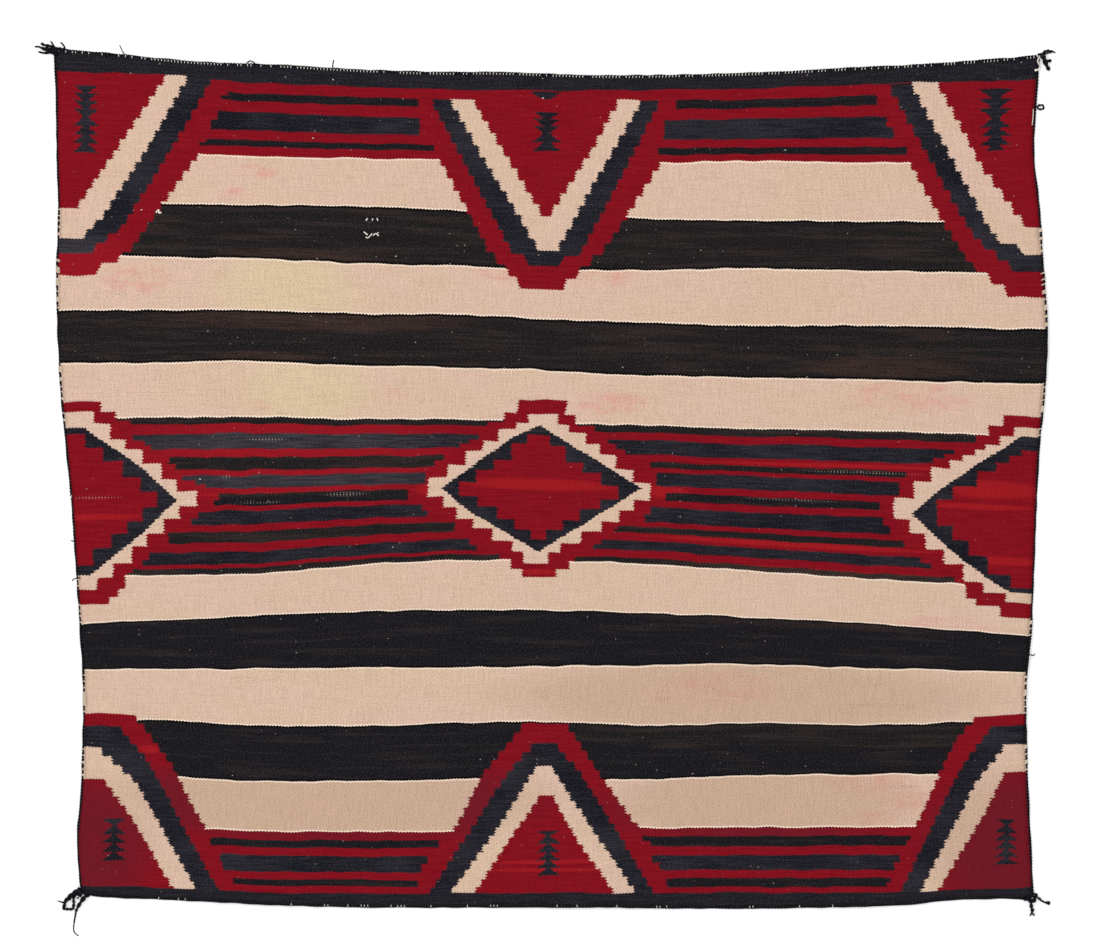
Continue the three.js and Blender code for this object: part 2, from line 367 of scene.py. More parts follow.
def start_group(name, inputs, outputs):
    """A new group of nodes, with the sockets that it takes its values from and leaves its results in."""
    group = bpy.data.node_groups.new(name, "ShaderNodeTree")
    for label in inputs:
        group.interface.new_socket(label, in_out="INPUT", socket_type="NodeSocketFloat")
    for label in outputs:
        kind = "NodeSocketColor" if label == "colour" else "NodeSocketFloat"
        group.interface.new_socket(label, in_out="OUTPUT", socket_type=kind)
    return group, group.nodes.new("NodeGroupInput").outputs, group.nodes.new("NodeGroupOutput").inputs


def use_group(group, **values):
    """Puts a group to use on these values, and gives its results."""
    made = fed_node("ShaderNodeGroup", *values.values())
    made.node_tree = group
    for label, value in values.items():
        feed(made.inputs[label], value)
    return made.outputs


def uv_parts(tree, layer):
    """The two coordinates that a piece's UV layer gives."""
    uv = tree.nodes.new("ShaderNodeUVMap")
    uv.uv_map = layer
    split = tree.nodes.new("ShaderNodeSeparateXYZ")
    feed(split.inputs[0], uv.outputs[0])
    return split.outputs


def dress(finish, colour, roughness, sheen, height, strength, depth):
    """Gives a finish its colour, roughness and sheen, and a relief of this strength and depth in m."""
    feed(finish.inputs["Base Color"], colour)
    feed(finish.inputs["Roughness"], roughness)
    finish.inputs["Specular IOR Level"].default_value = sheen
    bump = fed_node("ShaderNodeBump", height)
    bump.inputs["Strength"].default_value = strength
    bump.inputs["Distance"].default_value = depth
    feed(bump.inputs["Height"], height)
    feed(finish.inputs["Normal"], bump.outputs[0])


def weave_over(entry, leave, middle, half, at_row, half_depth):
    """Ends a group: the new yarn within half of the middle and half_depth of the row, else the old yarn."""
    in_width = calc("COMPARE", entry["across"], middle, half)
    in_depth = calc("COMPARE", entry["row"], at_row, half_depth)
    feed(leave["yarn"], swap(calc("MULTIPLY", in_width, in_depth), entry["yarn"], entry["new_yarn"]))


# A woven block: weft of one yarn between two warps and two rows.
block_group, entry, leave = start_group(
    "woven block", ["across", "row", "yarn", "left", "right", "top", "bottom", "new_yarn"], ["yarn"]
)
middle = calc("MULTIPLY", calc("ADD", entry["left"], entry["right"]), 0.5)
half = calc("MULTIPLY", calc("SUBTRACT", entry["right"], entry["left"]), 0.5)
at_row = calc("MULTIPLY", calc("ADD", entry["top"], entry["bottom"]), 0.5)
half_depth = calc("MULTIPLY", calc("SUBTRACT", entry["top"], entry["bottom"]), 0.5)
weave_over(entry, leave, middle, half, at_row, half_depth)

# A terraced band: its middle and its half width change by the same amount at every even step of its
# depth, and by another amount past a knee. The side of a step isn't upright: it leans a little. The
# knee and the step are counted from the band's top.
STEP_LEAN = 0.3
terrace_group, entry, leave = start_group(
    "terraced band",
    ["across", "row", "yarn", "at_row", "half_depth", "steps_per_mm", "top_in_steps", "knee", "middle",
     "half", "middle_change", "half_change", "middle_bend", "half_bend", "new_yarn"],
    ["yarn"],
)
level = calc("MULTIPLY", entry["row"], entry["steps_per_mm"])
level = calc("SUBTRACT", entry["top_in_steps"], level)
lean = calc("MULTIPLY_ADD", calc("FRACT", level), STEP_LEAN, STEP_LEAN * -0.5)
step = calc("ADD", calc("FLOOR", level), lean)
past = calc("MAXIMUM", calc("SUBTRACT", step, entry["knee"]), 0.0)
middle = calc("MULTIPLY_ADD", step, entry["middle_change"], entry["middle"])
middle = calc("MULTIPLY_ADD", past, entry["middle_bend"], middle)
half = calc("MULTIPLY_ADD", step, entry["half_change"], entry["half"])
half = calc("MULTIPLY_ADD", past, entry["half_bend"], half)
weave_over(entry, leave, middle, half, entry["at_row"], entry["half_depth"])

# A feather: bars stacked on a thin stem, each drawn out to a point at both ends. turned is 1 where a
# bar is widest at its top, and 0 where it is widest at its foot.
POINT_CURVE = 1.35
feather_group, entry, leave = start_group(
    "feather",
    ["across", "row", "yarn", "middle", "top", "at_row", "half_depth", "bars_per_mm", "turned", "stem",
     "reach", "new_yarn"],
    ["yarn"],
)
down = calc("MULTIPLY", calc("SUBTRACT", entry["top"], entry["row"]), entry["bars_per_mm"])
point = calc("SUBTRACT", calc("FRACT", down), entry["turned"])
point = calc("POWER", calc("ABSOLUTE", point), POINT_CURVE)
half = calc("MULTIPLY_ADD", point, entry["reach"], entry["stem"])
weave_over(entry, leave, entry["middle"], half, entry["at_row"], entry["half_depth"])

# A soft patch: 1 at its middle and 0 past its reach, for the listed marks.
patch_group, entry, leave = start_group(
    "soft patch", ["across", "row", "middle", "at_row", "reach", "reach_down"], ["patch"]
)
off_x = calc("DIVIDE", calc("SUBTRACT", entry["across"], entry["middle"]), entry["reach"])
off_y = calc("DIVIDE", calc("SUBTRACT", entry["row"], entry["at_row"]), entry["reach_down"])
far = calc("MULTIPLY_ADD", off_y, off_y, calc("MULTIPLY", off_x, off_x))
feed(leave["patch"], spread(far, 0.2, 1.0, 1.0, 0.0))

# The yarns, and the numbers that stand for them while the design is worked out.
CREAM = 0.0
RED = 1.0
INDIGO = 2.0
BLACK = 3.0
BROWN = 4.0
BORDER = 5.0
# A yarn's number is raised by this much near a broad stripe's edge, where a painted highlight line or a
# painted shade line is drawn.
PAINTED_EDGE_LINE = 0.3
SAME_YARN = 0.4


def shade(red, green, blue):
    """A colour given as it looks, 0 to 255, as Blender's own linear values."""
    return tuple(((part / 255 + 0.055) / 1.055) ** 2.4 for part in (red, green, blue)) + (1.0,)


# Woven wool: the dyed weft's colours, its streaks and grain, the beads that it makes over the warps, and,
# along the broad stripes' edges, a painted highlight line on the cream and a painted shade line on the dark
# yarns. The yarn's number, the stains, the bright picks and the worn spots come from the design.
MARKS = ("pink", "bright", "worn", "aged", "yellowed", "faded")
wool_group, entry, leave = start_group(
    "woven wool", ["warp", "row", "yarn", *MARKS], ["roughness", "height", "colour"]
)
warp, row = entry["warp"], entry["row"]


def fleece(reach, reach_down, detail, roughness):
    """Uneven wool, with lumps of about this reach along the weft and down the warp, in mm."""
    x = calc("DIVIDE", warp, reach)
    y = calc("DIVIDE", row, reach_down)
    return wool_noise(x, y, detail, roughness)


def dyed(mask, low, high, first, second):
    """A colour that goes from the first to the second as the mask goes from low to high."""
    return blend_colour(spread(mask, low, high), first, second)


def marked(colour, mark, strength, shown):
    """The colour where one kind of mark draws it towards the shade that it shows."""
    return blend_colour(calc("MULTIPLY", entry[mark], strength), colour, shown)


streak = fleece(62.0, 3.0, 3.0, 0.66)
grain = fleece(3.2, 2.2, 2.0, 0.7)
rib = fleece(3.1, 34.0, 1.0, 0.6)
broad = fleece(170.0, 95.0, 2.0, 0.6)
cloud = fleece(46.0, 22.0, 3.0, 0.68)
cream = dyed(broad, 0.35, 0.68, shade(212, 181, 163), shade(210, 181, 157))
cream = marked(cream, "yellowed", 0.72, shade(211, 190, 156))
cream = blend_colour(spread(streak, 0.4, 0.8, 0.0, 0.45), cream, shade(190, 160, 137))
mask = calc("MULTIPLY", entry["pink"], spread(cloud, 0.36, 0.72, 0.06, 0.5))
cream = blend_colour(mask, cream, shade(212, 136, 130))
cream = marked(cream, "aged", 0.58, shade(184, 152, 128))
red = dyed(streak, 0.28, 0.72, shade(120, 13, 26), shade(134, 19, 30))
red = marked(red, "bright", 0.75, shade(158, 27, 32))
red = marked(red, "faded", 0.4, shade(158, 27, 36))
red = marked(red, "aged", 0.85, shade(105, 25, 36))
faded = calc("MULTIPLY_ADD", broad, 0.7, streak)
indigo = dyed(faded, 0.62, 1.15, shade(21, 21, 29), shade(44, 42, 49))
mask = calc("MULTIPLY", entry["faded"], spread(streak, 0.32, 0.7, 0.25, 0.75))
indigo = blend_colour(mask, indigo, shade(66, 62, 68))
band = calc("MULTIPLY_ADD", streak, 0.6, fleece(230.0, 12.0, 2.0, 0.6))
black = dyed(band, 0.78, 1.08, shade(23, 22, 26), shade(37, 33, 34))
brown = dyed(band, 0.7, 1.05, shade(28, 25, 26), shade(45, 37, 35))
mask = calc("MULTIPLY", entry["bright"], spread(streak, 0.3, 0.65, 0.2, 0.65))
brown = blend_colour(mask, brown, shade(66, 48, 40))
black = blend_colour(calc("MULTIPLY", mask, 0.45), black, shade(66, 48, 40))
border = dyed(streak, 0.35, 0.7, shade(25, 24, 30), shade(38, 36, 42))
yarn = calc("ROUND", entry["yarn"])
painted_edge = calc("GREATER_THAN", calc("SUBTRACT", entry["yarn"], yarn), PAINTED_EDGE_LINE / 2)
bead = spread(calc("PINGPONG", warp, WARP_SPACING / 2), 0.7, 2.3, 0.55, 1.0)
# A painted highlight line on the cream along a broad stripe's edge, broken at the warps' beads.
cream = blend_colour(calc("MULTIPLY", painted_edge, bead), cream, shade(252, 232, 212))
colour = cream
for number, wool in ((RED, red), (INDIGO, indigo), (BLACK, black), (BROWN, brown), (BORDER, border)):
    colour = blend_colour(calc("COMPARE", yarn, number, SAME_YARN), colour, wool)
dark_yarn = calc("GREATER_THAN", yarn, (RED + INDIGO) / 2)
painted_edge_shade = calc("MULTIPLY", painted_edge, dark_yarn)
fleck = calc("MULTIPLY", dark_yarn, spread(grain, 0.5, 0.82, 0.0, 0.22))
colour = blend_colour(fleck, colour, shade(104, 98, 102))
# A painted shade line, near black, on the dark yarns along a broad stripe's edge.
colour = blend_colour(calc("MULTIPLY", painted_edge_shade, 0.92), colour, shade(4, 3, 4))

# Lint caught in the dark weft, and warps bared where the weft is worn: small pale dots. On cream the
# worn places show as dark dots instead.
LINT_APART = 13.0
LINT_APART_DOWN = 10.0
DOT_HALF_WIDTH = 0.85
DOT_HALF_DEPTH = 0.75
lint = wool_group.nodes.new("ShaderNodeTexVoronoi")
lint.voronoi_dimensions = "2D"
lint.inputs["Scale"].default_value = 1.0
lint_place = place_vector(calc("DIVIDE", warp, LINT_APART), calc("DIVIDE", row, LINT_APART_DOWN))
feed(lint.inputs["Vector"], lint_place)
lint_draw = wool_group.nodes.new("ShaderNodeSeparateColor")
feed(lint_draw.inputs[0], lint.outputs["Color"])
size = calc("MULTIPLY_ADD", lint_draw.outputs[0], 1.5, -1.4)
speck = calc("LESS_THAN", lint.outputs["Distance"], size)
glow = calc("MULTIPLY", lint_draw.outputs[1], calc("MULTIPLY_ADD", dark_yarn, 0.3, 0.35))
speck = calc("MULTIPLY", speck, glow)
dot = calc("LESS_THAN", calc("PINGPONG", warp, WARP_SPACING / 2), DOT_HALF_WIDTH)
dot_row = calc("LESS_THAN", calc("PINGPONG", row, WEFT_SPACING), DOT_HALF_DEPTH)
dot = calc("MULTIPLY", dot, dot_row)
worn_here = calc("MULTIPLY", entry["worn"], spread(cloud, 0.3, 0.6))
bare = calc("MULTIPLY", calc("MULTIPLY", dot, worn_here), 0.6)
speck = calc("MAXIMUM", speck, bare)
dyed_yarn = calc("GREATER_THAN", yarn, (CREAM + RED) / 2)
lint_colour = blend_colour(dyed_yarn, shade(52, 34, 34), shade(206, 188, 176))
colour = blend_colour(speck, colour, lint_colour)

# Where a weft bead dips between two warps, the wool is in shadow.
beat = calc("PINGPONG", calc("DIVIDE", warp, WARP_SPACING / 4), 1.0)
lie = calc("PINGPONG", calc("DIVIDE", row, WEFT_SPACING / 2), 1.0)
dip = calc("MULTIPLY", beat, lie)
grey = calc("MULTIPLY_ADD", grain, 0.82, calc("MULTIPLY_ADD", dip, 0.12, 0.43))
grey = calc("MULTIPLY_ADD", rib, 0.22, grey)
tone = wool_group.nodes.new("ShaderNodeCombineColor")
for socket in tone.inputs[:3]:
    feed(socket, grey)
colour = blend_colour(1.0, colour, tone.outputs[0], "MULTIPLY")
feed(leave["colour"], colour)
feed(leave["roughness"], spread(grain, 0.2, 0.8, 0.98, 0.84))
feed(leave["height"], calc("MULTIPLY_ADD", grain, 0.6, calc("MULTIPLY", dip, 0.55)))

# Where two yarns meet, the edge is toothed: along a row every second warp stands out, and beside a
# step the weft turns round the warp at uneven places. Sizes are in mm.
TURN_EVERY = 45.0
TURN_SHIFT = 2.5
PICK_STRIDE = 7.31
STEP_TOOTH = 2.4
WANDER = 3.0
edge_group, entry, leave = start_group("toothed edge", ["plan_x", "warp", "row"], ["across", "weft"])
pick = calc("FLOOR", calc("DIVIDE", entry["row"], 2.0 * WEFT_SPACING))
turn = calc("DIVIDE", entry["plan_x"], TURN_EVERY)
turn = wool_noise(turn, calc("MULTIPLY", pick, PICK_STRIDE), 0.0)
turn = calc("MULTIPLY_ADD", turn, 2 * TURN_SHIFT, -TURN_SHIFT)
tooth = calc("MULTIPLY_ADD", calc("PINGPONG", entry["row"], STEP_TOOTH), 1.7, -2.05)
across = calc("ADD", entry["plan_x"], calc("ADD", turn, tooth))
wander = wool_noise(calc("DIVIDE", entry["warp"], 58.0), calc("DIVIDE", entry["row"], 60.0), 1.0)
wander = calc("MULTIPLY_ADD", wander, 2 * WANDER, -WANDER)
tooth = calc("MULTIPLY_ADD", calc("PINGPONG", entry["warp"], WARP_SPACING / 2), 0.6, -0.87)
feed(leave["across"], across)
feed(leave["weft"], calc("ADD", entry["row"], calc("ADD", wander, tooth)))

# The broad stripes, from the top border to the bottom border, on a cream ground: the row lines that
# bound each, and its yarn.
BROAD_STRIPES = [
    (1, 2, RED), (3, 4, BROWN), (5, 6, BROWN), (7, 8, RED), (9, 10, BLACK), (11, 12, BLACK), (13, 14, RED),
]
# How far from a broad stripe's edge, in mm, the painted highlight and shade lines reach, and how much further
# they reach for each unit of the yarn's number.
PAINTED_EDGE_DEPTH = 2.2
PAINTED_EDGE_DARK_GROWTH = 0.4

# The thin stripes inside the three red groups, and the brown half of the lowest dark stripe, in
# shares of the group's depth from its top, and in mm across. A stripe with stepped ends is given in
# two or three parts.
THIN_STRIPES = {
    7: [
        (BROWN, 0, 0.014, -748, -69), (BROWN, 0.014, 0.042, -724, -99),
        (INDIGO, 0.103, 0.14, -720, -115), (INDIGO, 0.14, 0.17, -699, -131),
        (INDIGO, 0.17, 0.203, -689, -148),
        (BROWN, 0.255, 0.3, -657, -176), (BROWN, 0.3, 0.337, -645, -192),
        (INDIGO, 0.373, 0.4, -634, -208), (INDIGO, 0.4, 0.43, -611, -208), (INDIGO, 0.43, 0.453, -594, -208),
        (BLACK, 0.488, 0.53, -570, -239), (BLACK, 0.53, 0.565, -578, -239),
        (INDIGO, 0.598, 0.64, -605, -214), (INDIGO, 0.64, 0.685, -618, -204),
        (BROWN, 0.729, 0.8, -658, -157),
        (INDIGO, 0.855, 0.9, -692, -131), (INDIGO, 0.9, 0.935, -703, -118),
        (BROWN, 0.96, 0.985, -721, -79), (BROWN, 0.985, 1.0, -727, -79),
        (BROWN, 0, 0.014, 59, 755), (BROWN, 0.014, 0.055, 87, 755),
        (INDIGO, 0.108, 0.14, 111, 718), (INDIGO, 0.14, 0.175, 125, 699), (INDIGO, 0.175, 0.21, 141, 680),
        (BROWN, 0.263, 0.305, 185, 633), (INDIGO, 0.336, 0.431, 196, 621), (BLACK, 0.478, 0.537, 212, 587),
        (INDIGO, 0.586, 0.64, 186, 593), (INDIGO, 0.64, 0.696, 175, 604),
        (BROWN, 0.733, 0.755, 128, 629), (BROWN, 0.755, 0.779, 122, 629),
        (INDIGO, 0.838, 0.87, 99, 659), (INDIGO, 0.87, 0.907, 85, 677),
        (BROWN, 0.961, 1.0, 53, 718),
    ],
    1: [
        (BLACK, 0.146, 0.2, -553, -221), (BLACK, 0.2, 0.257, -566, -221),
        (INDIGO, 0.41, 0.53, -572, -218), (INDIGO, 0.53, 0.66, -584, -218),
        (BLACK, 0.79, 0.835, -593, -192), (BLACK, 0.835, 0.875, -603, -192),
        (BLACK, 0.145, 0.271, 230, 582), (INDIGO, 0.413, 0.55, 209, 599), (INDIGO, 0.55, 0.693, 209, 611),
        (BLACK, 0.806, 0.902, 199, 634),
    ],
    13: [
        (BLACK, 0.139, 0.264, -585, -185), (INDIGO, 0.4, 0.53, -568, -205), (INDIGO, 0.53, 0.659, -563, -215),
        (BLACK, 0.779, 0.884, -544, -221),
        (BLACK, 0.131, 0.21, 171, 640), (BLACK, 0.21, 0.285, 185, 634),
        (INDIGO, 0.423, 0.54, 188, 622), (INDIGO, 0.54, 0.654, 201, 612),
        (BLACK, 0.777, 0.85, 213, 606), (BLACK, 0.85, 0.915, 213, 598),
    ],
    11: [(BROWN, 0.03, 0.3, 40, 880), (BROWN, 0.3, 0.45, 190, 880)],
}

# The terraced motifs of the top and bottom rows, the outer band first: heights of the band's top and
# bottom, its number of steps, the step at which its sides bend, and where its left and its right
# side lie at the first step, at the bend and at the last step.
OUT_LEFT = (-990, -990, -990)
OUT_RIGHT = (990, 990, 990)
BORDER_OVERLAP = 14
BORDER_NEAR = -680
READ_INSIDE = 40
TERRACES = [
    (RED, 592, 373.5, 12, 9.6, OUT_LEFT, (-607, -729, -780)),
    (INDIGO, 724, 412, 17, 13.8, OUT_LEFT, (-584, -739, -786.5)),
    (CREAM, 724, 438, 16, 13.2, OUT_LEFT, (-627.5, -774, -803)),
    (RED, 726, 490.5, 13, 5, OUT_LEFT, (-666, -731, -813.5)),
    (RED, 580, 347.5, 11, 7.2, (-183, -100.5, -46), (202, 100.5, 36)),
    (INDIGO, 679, 389.5, 15, 13, (-195, -62, -33), (198, 66, 30)),
    (CREAM, 680, 416, 13, 6, (-161, -90, -15), (166, 92, 26)),
    (RED, 681, 476.5, 10, 4, (-121.5, -73, -9), (126, 80, 14.5)),
    (RED, 579, 335, 12, 8.8, (640, 746.5, 806), OUT_RIGHT),
    (INDIGO, 708, 379, 15, 11.6, (606, 757, 814.5), OUT_RIGHT),
    (CREAM, 713, 409.5, 14, 12, (645, 792, 832), OUT_RIGHT),
    (RED, 716, 456.5, 11, 6, (690, 766, 836), OUT_RIGHT),
    (RED, -411, -603, 12, 5.1, (-41, -107.5, -160), (42, 97, 164)),
    (INDIGO, -445.5, -711.5, 17, 2.5, (-25, -62, -201), (24, 60.5, 189)),
    (CREAM, -486.5, -710.5, 15, 7, (-17, -86, -162), (15, 84, 156)),
    (RED, -537, -710.5, 12, 5, (-13, -64, -121), (18, 58, 120)),
    (RED, -394, -600, 12, 4.7, OUT_LEFT, (-713, -653.5, -593)),
    (INDIGO, -415.5, -709.5, 19, 3.4, OUT_LEFT, (-738, -694, -568)),
    (CREAM, -451.5, -701, 16, 3.3, OUT_LEFT, (-774, -716.5, -613)),
    (RED, -507, -693, 12, 4.2, OUT_LEFT, (-766.5, -718, -657)),
    (RED, -396.5, -598, 12, 1.6, (750, 725, 650), OUT_RIGHT),
    (INDIGO, -414.5, -716, 19, 3.9, (777, 732.5, 619), OUT_RIGHT),
    (CREAM, -447, -711, 16, 3.9, (802, 753.5, 656), OUT_RIGHT),
    (RED, -496, -696.5, 13, 4, (802, 772, 697), OUT_RIGHT),
]

# The feathers in the middle of the red triangles: middle, top, bottom, bars, which way the bars are
# turned, the stem's half width and how far a bar's points reach past the stem.
FEATHERS = [
    (-802.5, 706, 650, 4, 1, 6, 16), (-802.5, 650, 588, 4, 0, 6, 17),
    (4, 658, 622, 3, 1, 7.5, 17), (4, 622, 590, 2, 0, 7.5, 19),
    (789, 699, 648, 3, 1, 8.5, 22), (789, 648, 592, 3.6, 0, 8, 20),
    (-753.5, -578, -589, 1, 1, 3.5, 18), (-753.5, -589, -651, 4, 0, 3, 20),
    (7, -599, -608, 1, 1, 5, 16), (7, -608, -678, 5, 0, 4, 18),
    (807.5, -578, -588, 1, 1, 4, 16), (807.5, -588, -658, 5, 0, 3.5, 18),
]

# Diamonds. A stepped one has its yarn, middle at the top and at the bottom, top, and for each level its
# lower edge and half width; the half ones at the sides have their middle outside the rug. A plain one is
# given a side at a time: yarn, middle, tip, and the knee and end of its upper and of its lower edge.
SIDE = 900
WELL_INSIDE = 760
DIAMONDS = [
    (RED, -2, -10, 155, [(129.5, 42.5), (114.5, 62.5)]),
    (RED, -7, -10, -120, [(-142, 51.5), (-155, 30)]),
    (CREAM, -2, -16, 131, [
        (113, 26), (100.5, 46), (79.5, 76), (62, 102), (37.5, 131), (15, 162), (-16.5, 194), (-34, 166.5),
        (-55, 142), (-72.5, 112.5), (-93.5, 77.5), (-111, 42), (-131.5, 21.5)]),
    (INDIGO, -6, (-180, -0.5), (-66, 83), (-6, 113), (-127, -43), (-12, -110)),
    (INDIGO, -6, (170.5, -0.5), (82, 55), (-6, 110), (82, -54), (-6, -107)),
    (RED, -10.5, -10.5, 94, [
        (76, 20), (48.5, 47.5), (30, 78), (9, 109), (-15.5, 139), (-33, 107.5), (-54, 72), (-72.5, 42.5),
        (-89.5, 13.5)]),
    (RED, -SIDE, -SIDE, 152, [(135.5, 124), (112, 150)]),
    (RED, -SIDE, -SIDE, -150, [(-175.5, 166.5), (-189.5, 155), (-201.5, 139)]),
    (CREAM, -SIDE, -SIDE, 134.5, [
        (114.5, 111), (85.5, 140), (68, 167), (42, 197), (14, 230), (-6, 257), (-32.5, 291), (-55, 261),
        (-79.5, 234), (-103, 204), (-132, 178), (-155, 145), (-176.5, 117)]),
    (INDIGO, -SIDE, (-643, -21), (-704, 36), (-806, 105), (-721, -95), (-796, -152)),
    (RED, -SIDE, -SIDE, 94.5, [
        (71, 96), (48, 127.5), (18.5, 161.5), (-7, 193), (-35, 222), (-58.5, 196.5), (-80.5, 170),
        (-105, 141.5), (-134, 110)]),
    (RED, SIDE, SIDE, 129.5, [(111, 98), (94, 123)]),
    (RED, SIDE, SIDE, -163, [(-193, 163.5), (-205, 146), (-221.5, 103)]),
    (CREAM, SIDE, SIDE, 109.5, [
        (93.5, 78.5), (78, 103), (68, 127.5), (57, 146), (47, 168.5), (32.5, 191), (8, 223.5), (-23, 253.5),
        (-60.5, 289), (-83, 261), (-109.5, 233.5), (-135.5, 201), (-163.5, 167), (-181, 132), (-197, 92.5)]),
    (INDIGO, SIDE, (642, -44), (709, 12), (834, 91), (731, -127), (816, -183)),
    (RED, SIDE, SIDE, 69.5, [
        (59.5, 64.5), (47, 87), (30.5, 110.5), (3.5, 143), (-22, 185), (-69, 213.5), (-93, 186),
        (-118, 158.5), (-148, 124.5), (-171.5, 84.5)]),
]
CAP = [
    (BORDER, 2.5, (-25, 694.5), (-15, 694.6), (2.5, 694.7), (-11, 684.5), (2.5, 680)),
    (BORDER, 2.5, (30, 694.5), (20, 694.6), (2.5, 694.7), (16, 684.5), (2.5, 680)),
]

# Marks placed one by one, each with its middle, its reach to either side and its reach up and down:
# where the red has run into the cream, brighter picks of red and brown, worn rows, parts darkened or
# yellowed by age, and parts where the dye has faded.
PINK_STAINS = [
    (573, -508, 90, 30), (640, -545, 60, 22), (570, -575, 60, 18), (97, 375, 80, 26), (-715, 366, 70, 30),
    (115, 150, 80, 26), (-75, 380, 60, 20), (-640, -260, 140, 34), (-492, 146, 20, 9), (640, 160, 130, 34),
    (300, -350, 140, 34), (-258, 167, 34, 11), (-500, 556, 44, 18), (-533, 517, 40, 14), (700, -250, 120, 34),
]
BRIGHT_PICKS = [
    (-8, 7, 170, 13), (-190, -2, 44, 13), (212, -6, 46, 14), (-10, -146, 60, 5), (-790, -50, 110, 6),
    (-800, 103, 70, 6), (780, -2, 120, 18), (760, -32, 120, 6), (800, -127, 90, 9), (450, -144, 320, 6),
    (430, -98, 310, 6), (-420, -8, 260, 4), (520, 40, 300, 4), (7, -653, 120, 5), (7, -667, 130, 4),
    (-690, -456, 24, 9), (7, -400, 60, 5), (-400, 297, 330, 27), (-490, 233, 120, 10), (600, 212, 170, 22),
    (-445, 409, 160, 14), (450, -234, 330, 16),
]
WORN_ROWS = [
    (-790, -16, 60, 3), (-505, -24, 60, 3.4), (-350, -10, 50, 4), (-560, 21, 14, 4), (430, -20, 90, 3),
    (-480, 86, 60, 3), (560, 28, 120, 3), (625, -380, 46, 4), (555, -379, 30, 3), (215, -368, 34, 4),
    (610, -522, 60, 4),
]
AGED_PARTS = [
    (-840, -620, 190, 150), (850, -620, 230, 160), (-380, -548, 460, 90), (380, -548, 340, 90),
    (350, -362, 520, 78),
]
YELLOWED_PARTS = [(-455, 350, 165, 80), (-415, 178, 135, 70)]
FADED_PARTS = [(-440, 60, 330, 100), (-810, 385, 130, 70)]


def row_span(top, bottom):
    """The middle and the half depth of a span of rows."""
    return (top + bottom) / 2, (top - bottom) / 2


